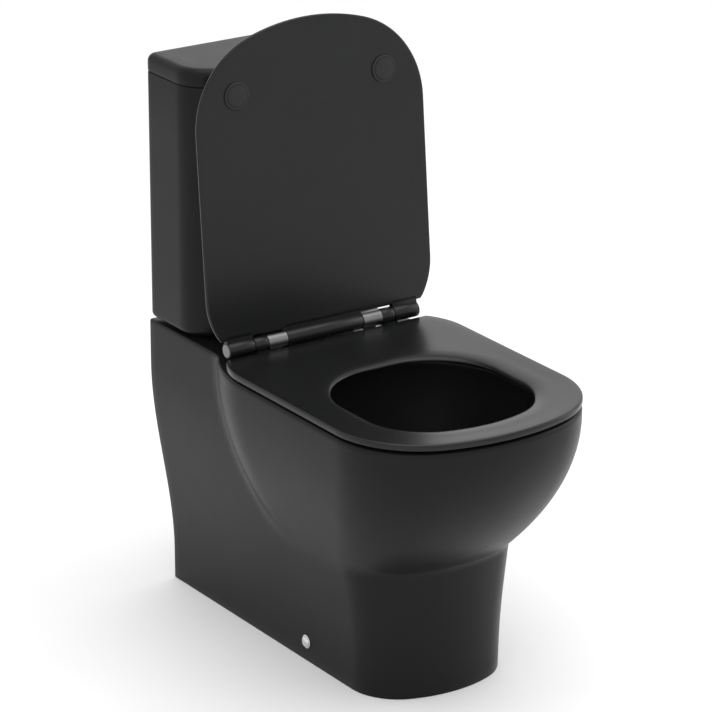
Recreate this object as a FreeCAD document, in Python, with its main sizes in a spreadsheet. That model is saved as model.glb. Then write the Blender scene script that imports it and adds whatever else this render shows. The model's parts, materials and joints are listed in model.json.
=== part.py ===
"""Close coupled toilet: skirted china pan, china cistern bolted to its deck, soft-close seat and lid,
dual flush valve and bottom entry filling valve.

Millimetres. +Z is up, the front points to -Y, X = 0 is the plane of symmetry, and the origin is on the
floor under the middle of the overall length. The seat lid stands open against the cistern.
"""
import FreeCAD, Part
import math
import os

import Sketcher
from FreeCAD import Placement, Rotation, Vector

SIZES = [
    ("overall_length", 665.0, "front of the seat to the wall"),
    ("overall_width", 365.0, "width over the seat and the rim"),
    ("rim_height", 400.0, "floor to the flat top of the pan"),
    ("foot_width", 224.0, "width of the skirt at the floor"),
    ("foot_setback", 124.5, "front of the seat to the front of the foot"),
    ("foot_draft", 8.0, "how far the foot leans out by the neck"),
    ("deck_step", 0.5, "how far the rear body stands inside the cistern on each side"),
    ("neck_height", 165.0, "height where the bowl starts to swell"),
    ("swell_drop", 15.0, "rim to the height where the bowl is full width"),
    ("china_wall", 11.0, "wall of the pan"),
    ("deck_thickness", 14.0, "top plate of the pan"),
    ("bowl_width", 270.0, "inside width of the bowl at the rim"),
    ("bowl_length", 302.0, "inside length of the bowl at the rim"),
    ("rim_land", 42.5, "front of the rim to the inside of the bowl"),
    ("bowl_depth", 295.0, "rim to the bottom of the sump"),
    ("trap_bore", 76.0, "bore of the trap"),
    ("trap_wall", 10.0, "wall of the trap"),
    ("outlet_diameter", 102.0, "outside of the outlet spigot"),
    ("outlet_height", 185.0, "floor to the centre of the outlet"),
    ("outlet_inset", 20.0, "wall to the end of the outlet spigot"),
    ("cistern_width", 292.0, "outside width of the cistern"),
    ("cistern_depth", 160.5, "outside depth of the cistern"),
    ("cistern_height", 356.0, "height of the cistern without its lid"),
    ("cistern_gap", 4.0, "slot between the deck and the cistern"),
    ("cistern_wall", 10.0, "wall of the cistern"),
    ("cistern_floor", 12.0, "floor of the cistern"),
    ("cover_height", 25.0, "height of the cistern lid"),
    ("cover_plate", 12.0, "thickness of the top of the cistern lid"),
    ("cover_seam", 0.5, "slot between the cistern and its lid"),
    ("flush_setback", 70.5, "wall to the axis of the flush valve"),
    ("coupling_spread", 150.0, "distance between the coupling bolts"),
    ("bolt_diameter", 8.0, "coupling bolts and seat studs"),
    ("flush_bore", 60.0, "flush hole in the deck"),
    ("gasket_diameter", 93.0, "outside of the coupling gasket"),
    ("gasket_depth", 16.0, "recess for the gasket in the deck"),
    ("inlet_thread", 20.96, "half inch pipe thread, outside"),
    ("inlet_setback", 60.0, "wall to the filling valve"),
    ("seat_gap", 4.0, "rim to the underside of the seat ring"),
    ("seat_thickness", 8.6, "seat ring"),
    ("seat_lid_gap", 3.8, "seat ring to the lid"),
    ("seat_lid_thickness", 8.6, "seat lid"),
    ("seat_lid_setback", 9.0, "front of the ring to the front of the lid"),
    ("seat_hole_width", 246.0, "width of the hole in the seat ring"),
    ("seat_hole_length", 253.0, "length of the hole in the seat ring"),
    ("seat_band", 56.5, "front of the seat ring to its hole"),
    ("seat_heel", 100.0, "radius of the rear corners of the seat and its lid"),
    ("seat_heel_overrun", 28.0, "hinge axis to where the rear corners would meet a straight back"),
    ("hinge_setback", 219.0, "wall to the hinge axis"),
    ("hinge_rise", 19.7, "rim to the hinge axis"),
    ("hinge_spread", 155.0, "distance between the hinge studs"),
    ("hinge_span", 310.0, "length of the whole row of knuckles"),
    ("knuckle_radius", 11.0, "outside of the hinge knuckles"),
    ("hinge_pin", 8.0, "diameter of the hinge pins"),
    ("running_gap", 0.05, "radial clearance of a turning fit"),
    ("side_gap", 0.5, "clearance between neighbouring knuckles"),
    ("opening_angle", 95.0, "lid from closed to open, degrees"),
    ("button_diameter", 52.0, "flange of the flush button"),
    ("button_travel", 6.0, "stroke of the flush buttons"),
    ("valve_lift", 20.0, "stroke of the flush valve"),
    ("float_travel", 60.0, "stroke of the float"),
    ("fixing_setback", 316.8, "front of the seat to the side fixing screws"),
    ("fixing_height", 29.0, "floor to the side fixing screws"),
    ("cap_diameter", 19.0, "chrome caps over the side fixing screws"),
]


class Size:
    """A number together with the spreadsheet expression that gives it."""

    def __init__(self, text, number):
        self.text = text
        self.number = float(number)

    @staticmethod
    def of(other):
        return other if isinstance(other, Size) else Size(repr(float(other)), other)

    def __add__(self, other):
        other = Size.of(other)
        return Size(f"({self.text} + {other.text})", self.number + other.number)

    def __sub__(self, other):
        other = Size.of(other)
        return Size(f"({self.text} - {other.text})", self.number - other.number)

    def __mul__(self, other):
        other = Size.of(other)
        return Size(f"({self.text} * {other.text})", self.number * other.number)

    def __truediv__(self, other):
        other = Size.of(other)
        return Size(f"({self.text} / {other.text})", self.number / other.number)

    def __radd__(self, other):
        return Size.of(other) + self

    def __rsub__(self, other):
        return Size.of(other) - self

    def __rmul__(self, other):
        return Size.of(other) * self

    def __neg__(self):
        return Size(f"(0 - {self.text})", -self.number)


class Sizes:
    """The spreadsheet's cells, each read by its alias."""


DOC = FreeCAD.newDocument("CloseCoupledToilet")
NODES = {}


def make_sheet():
    """The spreadsheet of driving dimensions: name, value and meaning, one row each."""
    sheet = DOC.addObject("Spreadsheet::Sheet", "Sizes")
    cells = Sizes()
    for row, (alias, value, meaning) in enumerate(SIZES, start=1):
        sheet.set(f"A{row}", alias)
        sheet.set(f"B{row}", str(value))
        sheet.set(f"C{row}", meaning)
        sheet.setAlias(f"B{row}", alias)
    DOC.recompute()
    for alias, _value, _meaning in SIZES:
        setattr(cells, alias, Size(f"Sizes.{alias}", sheet.get(alias)))
    return cells


S = make_sheet()

# Planes and axes that several pieces share.
ZERO = Size.of(0.0)
FRONT = -S.overall_length / 2
BACK = S.overall_length / 2
HALF_WIDTH = S.overall_width / 2
FLUSH_Y = BACK - S.flush_setback
DECK_HALF = S.cistern_width / 2 - S.deck_step
INLET_HOLE = 22.0
INLET_STEP = 1.5
INLET_X = DECK_HALF - S.china_wall - INLET_HOLE - 4.5
INLET_Y = BACK - S.inlet_setback
DECK_UNDER = S.rim_height - S.deck_thickness
CISTERN_BASE = S.rim_height + S.cistern_gap
TANK_FLOOR = CISTERN_BASE + S.cistern_floor
TANK_TOP = CISTERN_BASE + S.cistern_height
COVER_BASE = TANK_TOP + S.cover_seam
COVER_TOP = TANK_TOP + S.cover_height
COVER_UNDER = COVER_TOP - S.cover_plate
RING_UNDER = S.rim_height + S.seat_gap
RING_TOP = RING_UNDER + S.seat_thickness
LID_UNDER = RING_TOP + S.seat_lid_gap
HINGE_Y = BACK - S.hinge_setback
HINGE_Z = S.rim_height + S.hinge_rise
PLATE_BACK = HINGE_Y - S.knuckle_radius - 2.5
HEEL_BACK = HINGE_Y + S.seat_heel_overrun
REST_GAP = 0.3


# ---------------------------------------------------------------- small builders
def bind(thing, **sizes):
    """Ties properties of an object to spreadsheet expressions; a double underscore stands for a dot."""
    for name, size in sizes.items():
        thing.setExpression(name.replace("__", "."), Size.of(size).text)
    return thing


def move(thing, x, y, z, turn=None):
    """Places an object, with an optional fixed turn, at a point given by sizes."""
    thing.Placement = Placement(Vector(), turn or Rotation())
    return bind(thing, Placement__Base__x=x, Placement__Base__y=y, Placement__Base__z=z)


ALONG = {"X": Rotation(Vector(0, 1, 0), 90), "Y": Rotation(Vector(1, 0, 0), -90), "Z": Rotation()}


def cylinder(radius, length, x, y, z, along="Z"):
    """A cylinder that starts at the given point and runs along +X, +Y or +Z."""
    thing = DOC.addObject("Part::Cylinder", "Cylinder")
    bind(thing, Radius=radius, Height=length)
    return move(thing, x, y, z, ALONG[along])


def box(x0, x1, y0, y1, z0, z1):
    """A box between two corners."""
    thing = DOC.addObject("Part::Box", "Box")
    bind(thing, Length=x1 - x0, Width=y1 - y0, Height=z1 - z0)
    return move(thing, x0, y0, z0)


def cut(base, tool):
    thing = DOC.addObject("Part::Cut", "Cut")
    thing.Base = base
    thing.Tool = tool
    return thing


def join(*parts):
    thing = DOC.addObject("Part::MultiFuse", "Join")
    thing.Shapes = list(parts)
    return thing


def overlap(base, tool):
    thing = DOC.addObject("Part::Common", "Overlap")
    thing.Base = base
    thing.Tool = tool
    return thing


def tube(outer, inner, length, x, y, z, along="Z"):
    """A plain round tube; its bore runs right through."""
    return cut(cylinder(outer, length, x, y, z, along), cylinder(inner, length, x, y, z, along))


def group(*parts):
    """Separate solids kept together as one piece of the list."""
    thing = DOC.addObject("Part::Compound", "Group")
    thing.Links = list(parts)
    return thing


def mirrored(part):
    thing = DOC.addObject("Part::Mirroring", "Mirror")
    thing.Source = part
    thing.Base = Vector(0, 0, 0)
    thing.Normal = Vector(1, 0, 0)
    return thing


def pair(part):
    """The given right-hand piece and its left-hand mirror image."""
    return group(part, mirrored(part))


def node(name, thing):
    thing.Label = name
    NODES[name] = thing
    return thing


def origin_plane(body, role):
    for feature in body.Origin.OriginFeatures:
        if feature.Role == role:
            return feature
    raise ValueError(role)


def new_sketch(body, role, height=None):
    sketch = body.newObject("Sketcher::SketchObject", "Sketch")
    sketch.AttachmentSupport = [(origin_plane(body, role), "")]
    sketch.MapMode = "FlatFace"
    if height is not None:
        bind(sketch, AttachmentOffset__Base__z=height)
    return sketch


def dimension(sketch, name, size, kind, *places):
    """Adds one named driving dimension to a sketch and ties it to a size."""
    index = sketch.addConstraint(Sketcher.Constraint(kind, *places, size.number))
    sketch.renameConstraint(index, name)
    sketch.setExpression(f"Constraints.{name}", size.text)


def turned(profile):
    """A body turned about its own Z axis from a closed profile of (radius, height) corners."""
    body = DOC.addObject("PartDesign::Body", "Turned")
    sketch = new_sketch(body, "XZ_Plane")
    corners = [(Size.of(r), Size.of(z)) for r, z in profile]
    count = len(corners)
    for index, (r, z) in enumerate(corners):
        nr, nz = corners[(index + 1) % count]
        line = Part.LineSegment(Vector(r.number, z.number, 0), Vector(nr.number, nz.number, 0))
        sketch.addGeometry(line)
    for index, (r, z) in enumerate(corners):
        after = (index + 1) % count
        sketch.addConstraint(Sketcher.Constraint("Coincident", index, 2, after, 1))
        if r.number == 0:
            sketch.addConstraint(Sketcher.Constraint("PointOnObject", index, 1, -2))
        else:
            dimension(sketch, f"radius{index}", r, "DistanceX", -1, 1, index, 1)
        if z.number == 0:
            sketch.addConstraint(Sketcher.Constraint("PointOnObject", index, 1, -1))
        else:
            dimension(sketch, f"height{index}", z, "DistanceY", -1, 1, index, 1)
    turn = body.newObject("PartDesign::Revolution", "Turn")
    turn.Profile = sketch
    turn.ReferenceAxis = (sketch, ["V_Axis"])
    turn.Angle = 360
    return body


class Outline:
    """A D-shaped plan: straight back, round heels, parallel sides, round front corners and a bowed
    nose, each arc tangent to the next."""

    def __init__(self, half, front, back, nose, corner, heel):
        self.half = Size.of(half)
        self.front = Size.of(front)
        self.back = Size.of(back)
        self.nose = Size.of(nose)
        self.corner = Size.of(corner)
        self.heel = Size.of(heel)

    def inset(self, distance, back=None):
        """The same outline moved inwards all round."""
        step = Size.of(distance)
        return Outline(
            self.half - step,
            self.front + step,
            self.back - step if back is None else back,
            self.nose - step,
            self.corner - step,
            self.heel - step if self.heel.number - step.number > 1 else 1.0,
        )

    def geometry(self, height=0.0):
        """The eight edges, anticlockwise from the right side."""
        half, back = self.half.number, self.back.number
        nose, corner, heel = self.nose.number, self.corner.number, self.heel.number
        nose_y = self.front.number + nose
        corner_x = half - corner
        corner_y = nose_y - math.sqrt((nose - corner) ** 2 - corner_x**2)
        turn = math.atan2(corner_y - nose_y, corner_x)
        up = Vector(0, 0, 1)

        def line(x0, y0, x1, y1):
            return Part.LineSegment(Vector(x0, y0, height), Vector(x1, y1, height))

        def arc(x, y, radius, start, end):
            circle = Part.Circle(Vector(x, y, height), up, radius)
            return Part.ArcOfCircle(circle, start, end)

        heel_x, heel_y = half - heel, back - heel
        full = 2 * math.pi
        return [
            line(half, corner_y, half, heel_y),
            arc(heel_x, heel_y, heel, 0, full / 4),
            line(heel_x, back, -heel_x, back),
            arc(-heel_x, heel_y, heel, full / 4, full / 2),
            line(-half, heel_y, -half, corner_y),
            arc(-corner_x, corner_y, corner, full / 2, full / 2 - turn),
            arc(0, nose_y, nose, full / 2 - turn, full + turn),
            arc(corner_x, corner_y, corner, full + turn, full),
        ]

    def wire(self, height):
        return Part.Wire([edge.toShape() for edge in self.geometry(height)])

    def sketch(self, body, height):
        """The outline as a fully dimensioned sketch, level, at the given height."""
        sketch = new_sketch(body, "XY_Plane", height)
        sketch.addGeometry(self.geometry())
        right, heel, back, heel_left, left, corner_left, nose, corner = range(8)
        for index in range(8):
            sketch.addConstraint(Sketcher.Constraint("Tangent", index, 2, (index + 1) % 8, 1))
        sketch.addConstraint(Sketcher.Constraint("Vertical", right))
        sketch.addConstraint(Sketcher.Constraint("Vertical", left))
        sketch.addConstraint(Sketcher.Constraint("Horizontal", back))
        sketch.addConstraint(Sketcher.Constraint("Equal", heel, heel_left))
        sketch.addConstraint(Sketcher.Constraint("Equal", corner, corner_left))
        sketch.addConstraint(Sketcher.Constraint("PointOnObject", nose, 3, -2))
        dimension(sketch, "half_right", self.half, "DistanceX", -1, 1, right, 1)
        dimension(sketch, "half_left", self.half, "DistanceX", left, 2, -1, 1)
        dimension(sketch, "back_line", self.back, "DistanceY", -1, 1, back, 1)
        dimension(sketch, "nose_centre", self.front + self.nose, "DistanceY", -1, 1, nose, 3)
        dimension(sketch, "heel_radius", self.heel, "Radius", heel)
        dimension(sketch, "corner_radius", self.corner, "Radius", corner)
        dimension(sketch, "nose_radius", self.nose, "Radius", nose)
        return sketch


def pad(body, outline, bottom, length):
    feature = body.newObject("PartDesign::Pad", "Pad")
    feature.Profile = outline.sketch(body, bottom)
    return bind(feature, Length=length)


def pocket(body, outline, top, depth):
    """Cuts downwards from the given height."""
    feature = body.newObject("PartDesign::Pocket", "Pocket")
    feature.Profile = outline.sketch(body, top)
    return bind(feature, Length=depth)


def round_edges(body, height, radius, kind="PartDesign::Fillet"):
    """Rounds every edge that lies in one level plane."""
    DOC.recompute()
    base = body.Tip
    names = []
    for index, edge in enumerate(base.Shape.Edges, start=1):
        if all(abs(corner.Z - height.number) < 1e-4 for corner in edge.Vertexes):
            names.append(f"Edge{index}")
    feature = body.newObject(kind, "Rounded")
    feature.Base = (base, names)
    feature.Radius = radius
    return feature


# ---------------------------------------------------------------- outlines
RING_PLAN = Outline(HALF_WIDTH, FRONT, HEEL_BACK, 300, 130, S.seat_heel)
LID_PLAN = Outline(HALF_WIDTH, FRONT + S.seat_lid_setback, HEEL_BACK, 300, 130, S.seat_heel)
HOLE_FRONT = FRONT + S.seat_band
HOLE_PLAN = Outline(S.seat_hole_width / 2, HOLE_FRONT, HOLE_FRONT + S.seat_hole_length, 200, 90, 100)
TANK_PLAN = Outline(S.cistern_width / 2, BACK - S.cistern_depth, BACK, 230, 50, 14)


# ---------------------------------------------------------------- pan
def smooth_step(t):
    """Rises from 0 to 1 with level ends."""
    t = min(max(t, 0.0), 1.0)
    return t * t * (3 - 2 * t)


def skirt_outline(height, inset=0.0, back=None):
    """The rear body and foot: parallel at the floor, widening in an S to the deck."""
    half_foot, half_deck = S.foot_width.number / 2, DECK_HALF.number
    rim = S.rim_height.number
    half = half_foot + (half_deck - half_foot) * smooth_step((height / rim - 0.11) / 0.73)
    front = FRONT.number + S.foot_setback.number
    front -= S.foot_draft.number * height / S.neck_height.number
    grow = half - half_foot
    return Outline(
        half - inset,
        front + inset,
        BACK.number if back is None else back,
        180 + grow - inset,
        75 + grow / 2 - inset,
        4.0,
    )


def swell(height, start):
    """How far the bowl has swelled out at a height: 0 at the start, 1 at full width, easing in."""
    top = S.rim_height.number - S.swell_drop.number
    u = (height - start) / (top - start)
    if u >= 1:
        return 1.0
    return 1 - (1 - u) ** 1.9


def bowl_outline(height, inset=0.0):
    """The outside of the bowl: its sides swell first, the nose a little higher, the back is round."""
    neck = S.neck_height.number
    half_neck = S.foot_width.number / 2 + S.foot_draft.number
    side = swell(height, neck)
    nose = swell(height, neck + 20)
    half = half_neck + (HALF_WIDTH.number - 0.5 - half_neck) * side
    neck_front = FRONT.number + S.foot_setback.number - S.foot_draft.number
    front = neck_front + (FRONT.number + 0.5 - neck_front) * nose
    centre = HINGE_Y.number - 115 + 42 * side
    half -= inset
    reach = half / HALF_WIDTH.number
    return Outline(half, front + inset, centre + half, 300 * reach, 130 * reach, half - 1)


def bowl_inside(height, grow=0.0):
    """The inside of the bowl at a height, narrowing to the sump."""
    rim, depth = S.rim_height.number, S.bowl_depth.number
    fall = (rim - height) / depth
    share = 1 - 0.72 * smooth_step(fall) ** 1.15
    half = S.bowl_width.number / 2 * share + grow
    front_top = FRONT.number + S.rim_land.number
    back_top = front_top + S.bowl_length.number
    sump = HINGE_Y.number - 190
    length_share = 1 - 0.74 * smooth_step(fall)
    front = sump + (front_top - sump) * length_share - grow
    back = sump + (back_top - sump) * length_share + grow
    return Outline(half, front, back, half * 1.4, half * 0.86, half * 0.92)


def loft(outline, heights, **options):
    return Part.makeLoft([outline(z, **options).wire(z) for z in heights], True)


def trap_run(radius, ends):
    """A round pipe along the trap's centre line in the plane X = 0."""
    sump, outlet = HINGE_Y.number - 190, S.outlet_height.number
    low = S.rim_height.number - S.bowl_depth.number + 14
    crown = outlet + 59
    points = [
        Vector(0, sump, low),
        Vector(0, sump + 70, low),
        Vector(0, sump + 165, crown),
        Vector(0, sump + 220, crown),
        Vector(0, sump + 300, outlet),
        Vector(0, BACK.number - S.outlet_inset.number + ends, outlet),
    ]
    pipe = Part.makeSphere(radius, points[0])
    for start, end in zip(points, points[1:]):
        run = end - start
        pipe = pipe.fuse(Part.makeCylinder(radius, run.Length, start, run))
        if end != points[-1]:
            pipe = pipe.fuse(Part.makeSphere(radius, end))
    return pipe.removeSplitter()


def make_pan():
    """The hollow china body: skirt and swelling bowl outside with the deck and its closed flush
    channel, a second wall for the bowl inside, and the trap with its outlet spigot behind. The
    casting is parted where the inner bowl hangs from the deck and where the trap leaves the bowl."""
    rim, wall = S.rim_height.number, S.china_wall.number
    neck = S.neck_height.number
    under = DECK_UNDER.number
    back = BACK.number
    overall = S.overall_length.number
    skirt_heights = [rim * share for share in (0, 0.11, 0.25, 0.4, 0.55, 0.7, 0.85, 1)]
    bowl_levels = (-0.05, 0.035, 0.13, 0.255, 0.45, 0.68, 0.915, 1)
    bowl_heights = [neck + (rim - neck) * level for level in bowl_levels]
    outside = loft(skirt_outline, skirt_heights).fuse(loft(bowl_outline, bowl_heights))

    inner_skirt = [-5] + [z for z in skirt_heights[1:-1] if z < under - 10] + [under]
    inner_bowl = [neck + (under - neck) * share for share in (0.03, 0.135, 0.27, 0.48, 0.72, 0.93, 1)]
    hollow = loft(skirt_outline, inner_skirt, inset=wall, back=back + 30)
    hollow = hollow.fuse(loft(bowl_outline, inner_bowl, inset=wall))

    low = rim - S.bowl_depth.number
    dip = S.bowl_depth.number
    levels = [low + dip * share for share in (0, 0.15, 0.32, 0.5, 0.68, 0.85, 1)]
    bowl_shell = loft(bowl_inside, [low - wall] + levels[1:], grow=wall)
    bowl_space = loft(bowl_inside, levels[:-1] + [rim + 1])

    flush = FLUSH_Y.number
    recess_radius = S.gasket_diameter.number / 2 + 0.5
    housing_half = recess_radius + 6
    housing_start, housing_depth = 20, 70
    housing = Part.makeBox(
        2 * housing_half, flush + housing_half - housing_start, housing_depth,
        Vector(-housing_half, housing_start, rim - housing_depth),
    )
    channel = Part.makeBox(56, flush + 28, 30, Vector(-28, 0, rim - 55))
    bore = Part.makeCylinder(S.flush_bore.number / 2, 40, Vector(0, flush, rim - 50))
    recess = Part.makeCylinder(recess_radius, 30, Vector(0, flush, rim - S.gasket_depth.number))

    trap_radius = S.trap_bore.number / 2
    spigot_end = back - S.outlet_inset.number
    spigot = Part.makeCylinder(
        S.outlet_diameter.number / 2, 70, Vector(0, spigot_end - 70, S.outlet_height.number), Vector(0, 1, 0)
    )
    trap = trap_run(trap_radius + S.trap_wall.number, 0).fuse(spigot)
    body = outside.cut(hollow).fuse([bowl_shell, housing, trap])
    body = body.cut([bowl_space, channel, bore, recess, trap_run(trap_radius, 5)])

    holes = []
    for side in (-1, 1):
        stud = Vector(side * S.hinge_spread.number / 2, HINGE_Y.number, under - 5)
        bolt = Vector(side * S.coupling_spread.number / 2, flush, under - 5)
        screw_y = FRONT.number + S.fixing_setback.number
        screw = Vector(side * S.foot_width.number / 2, screw_y, S.fixing_height.number)
        holes.append(Part.makeCylinder(S.bolt_diameter.number / 2 + 2, 30, stud))
        holes.append(Part.makeCylinder(S.bolt_diameter.number / 2 + 3, 30, bolt))
        holes.append(Part.makeCylinder(6.5, 40, screw - Vector(side * 20, 0, 0), Vector(side, 0, 0)))
    inlet = Vector(INLET_X.number, INLET_Y.number, under - 5)
    holes.append(Part.makeCylinder(INLET_HOLE, 30, inlet))
    china = body.cut(holes)

    half_room = overall / 2
    below_deck = Part.makeBox(overall, overall, under, Vector(-half_room, -half_room, 0))
    bowl_region = bowl_shell.common(below_deck)
    trap_region = trap.cut(bowl_region)
    regions = {
        "pan": china.cut([bowl_region, trap_region]),
        "bowl": china.common(bowl_region),
        "trap": china.common(trap_region),
    }
    for name, shape in regions.items():
        piece = DOC.addObject("Part::Feature", name.capitalize())
        piece.Shape = shape.removeSplitter()
        piece.Placement = Placement()
        node(name, piece)


# ---------------------------------------------------------------- cistern
def make_cistern():
    """A D-shaped tank with holes in its floor, and the loose lid with its locating lip."""
    tank = DOC.addObject("PartDesign::Body", "Tank")
    pad(tank, TANK_PLAN, CISTERN_BASE, S.cistern_height)
    round_edges(tank, CISTERN_BASE, 9)
    pocket(tank, TANK_PLAN.inset(S.cistern_wall), TANK_TOP, S.cistern_height - S.cistern_floor)
    drop = CISTERN_BASE - 5
    through = S.cistern_floor + 10
    hole_list = [
        cylinder(31, through, ZERO, FLUSH_Y, drop),
        cylinder(S.inlet_thread / 2 + INLET_STEP + 1, through, INLET_X, INLET_Y, drop),
        cylinder(S.bolt_diameter / 2 + 1.5, through, S.coupling_spread / 2, FLUSH_Y, drop),
        cylinder(S.bolt_diameter / 2 + 1.5, through, -S.coupling_spread / 2, FLUSH_Y, drop),
    ]
    node("cistern", cut(tank, join(*hole_list)))

    cover = DOC.addObject("PartDesign::Body", "Cover")
    pad(cover, TANK_PLAN, COVER_BASE, COVER_TOP - COVER_BASE)
    round_edges(cover, COVER_TOP, 11)
    pad(cover, TANK_PLAN.inset(S.cistern_wall + 1.5), COVER_BASE - 8, 12.0)
    lip = TANK_PLAN.inset(S.cistern_wall + 8)
    hollow = cover.newObject("PartDesign::Pocket", "Hollow")
    hollow.Profile = lip.sketch(cover, COVER_BASE - 8)
    hollow.Reversed = True
    bind(hollow, Length=COVER_UNDER - COVER_BASE + 8)
    node("cistern_lid", cut(cover, cylinder(20, 40, ZERO, FLUSH_Y, COVER_UNDER - 10)))


# ---------------------------------------------------------------- seat
BLOCK_HALF = 15.0
RING_KNUCKLE = 21.0


def knuckle(start, length, web_bottom, web_height):
    """A hinge knuckle on the axis with the web that joins it to its plate."""
    barrel = cylinder(S.knuckle_radius, length, start, HINGE_Y, HINGE_Z, "X")
    web = box(start, start + length, PLATE_BACK - 6, HINGE_Y, web_bottom, web_bottom + web_height)
    return join(barrel, web)


def trimmed(plate, under, thickness):
    """A seat plate cut off straight in front of the hinge."""
    waste = box(-HALF_WIDTH, HALF_WIDTH, PLATE_BACK, HEEL_BACK + 1, under - 1, under + thickness + 1)
    return cut(plate, waste)


def opened(thing):
    """Stands a piece of the lid up by turning it about the hinge axis."""
    centre = f"vector(0; {HINGE_Y.text}; {HINGE_Z.text})"
    turn = f"rotation(vector(-1; 0; 0); {S.opening_angle.text})"
    thing.setExpression("Placement", f"placement(vector(0; 0; 0); {turn}; {centre})")
    return thing


def make_seat():
    """The ring and the lid, which swing on the same two pins, with their dampers and buffers."""
    block_end = S.hinge_spread / 2 + BLOCK_HALF
    ring_start = block_end + S.side_gap
    lid_start = ring_start + RING_KNUCKLE + S.side_gap
    lid_end = S.hinge_span / 2
    pin = S.hinge_pin / 2
    damper = S.knuckle_radius - 3
    shrink = 0.1

    plate = DOC.addObject("PartDesign::Body", "RingPlate")
    pad(plate, RING_PLAN, RING_UNDER, S.seat_thickness)
    pocket(plate, HOLE_PLAN, RING_TOP, S.seat_thickness + 1)
    round_edges(plate, RING_TOP, 3)
    ring_knuckle = knuckle(ring_start, Size.of(RING_KNUCKLE), RING_UNDER, S.seat_thickness)
    ring_bore = cylinder(damper, RING_KNUCKLE, ring_start, HINGE_Y, HINGE_Z, "X")
    ring_plate = trimmed(plate, RING_UNDER, S.seat_thickness)
    node("seat_ring", cut(join(ring_plate, pair(ring_knuckle)), pair(ring_bore)))
    node("ring_dampers", pair(
        tube(damper - shrink, pin + S.running_gap, Size.of(RING_KNUCKLE), ring_start, HINGE_Y, HINGE_Z, "X")
    ))

    cover = DOC.addObject("PartDesign::Body", "LidPlate")
    pad(cover, LID_PLAN, LID_UNDER, S.seat_lid_thickness)
    round_edges(cover, LID_UNDER + S.seat_lid_thickness, 4)
    lid_length = lid_end - lid_start
    outer_knuckle = knuckle(lid_start, lid_length, LID_UNDER, S.seat_lid_thickness)
    middle_half = S.hinge_spread / 2 - BLOCK_HALF - S.side_gap
    middle = knuckle(-middle_half, middle_half * 2, LID_UNDER, S.seat_lid_thickness)
    lid_bore = cylinder(damper, lid_length - 4, lid_start, HINGE_Y, HINGE_Z, "X")
    lid_plate = trimmed(cover, LID_UNDER, S.seat_lid_thickness)
    node("seat_lid", opened(cut(join(lid_plate, pair(outer_knuckle), middle), pair(lid_bore))))
    node("lid_dampers", opened(pair(
        tube(damper - shrink, pin + S.running_gap, lid_length - 5, lid_start, HINGE_Y, HINGE_Z, "X")
    )))

    ring_buffer_depth = S.seat_gap - REST_GAP
    buffers = []
    for x, y in ((HALF_WIDTH - 49.5, FRONT + 70.5), (HALF_WIDTH - 24.5, FRONT + 235.5)):
        buffers.append(pair(cylinder(17, ring_buffer_depth, x, y, RING_UNDER - ring_buffer_depth)))
    node("ring_buffers", group(*buffers))
    lid_buffer_depth = S.seat_lid_gap - REST_GAP
    lid_buffer = cylinder(
        19, lid_buffer_depth, HALF_WIDTH - 64.5, FRONT + 99.5, LID_UNDER - lid_buffer_depth,
    )
    node("lid_buffers", opened(pair(lid_buffer)))

    stud_x = S.hinge_spread / 2
    base = turned([
        (0, 0), (24, 0), (24, 2.2), (22.5, S.seat_gap - 0.5), (9, S.seat_gap - 0.5),
        (9, S.hinge_rise), (0, S.hinge_rise),
    ])
    move(base, stud_x, HINGE_Y, S.rim_height)
    barrel = cylinder(S.knuckle_radius, 2 * BLOCK_HALF, stud_x - BLOCK_HALF, HINGE_Y, HINGE_Z, "X")
    pin_start = stud_x - BLOCK_HALF + 3
    bore = cylinder(pin + S.running_gap, 2 * BLOCK_HALF, pin_start, HINGE_Y, HINGE_Z, "X")
    stud_radius = S.bolt_diameter / 2
    hole = stud_radius + S.running_gap
    stud_bore = cylinder(hole, 8 + S.running_gap, stud_x, HINGE_Y, S.rim_height - 1)
    node("hinge_bases", pair(cut(cut(join(base, barrel), bore), stud_bore)))
    pin_length = lid_end - 5 - pin_start
    node("hinge_pins", pair(cylinder(pin, pin_length, pin_start, HINGE_Y, HINGE_Z, "X")))

    stud_length = Size.of(62.0)
    node("hinge_studs", pair(
        cylinder(stud_radius, stud_length, stud_x, HINGE_Y, S.rim_height + 7 - stud_length)
    ))
    node("hinge_washers", pair(tube(13, hole, Size.of(2.0), stud_x, HINGE_Y, DECK_UNDER - 2)))
    node("hinge_nuts", pair(tube(9.5, hole, Size.of(12.0), stud_x, HINGE_Y, DECK_UNDER - 14)))


# ---------------------------------------------------------------- coupling
def hexagon(circumradius, hole, length, x, y, z):
    """A hexagon nut."""
    prism = DOC.addObject("Part::Prism", "Prism")
    prism.Polygon = 6
    bind(prism, Circumradius=circumradius, Height=length)
    move(prism, x, y, z)
    return cut(prism, cylinder(hole, length, x, y, z))


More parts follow.
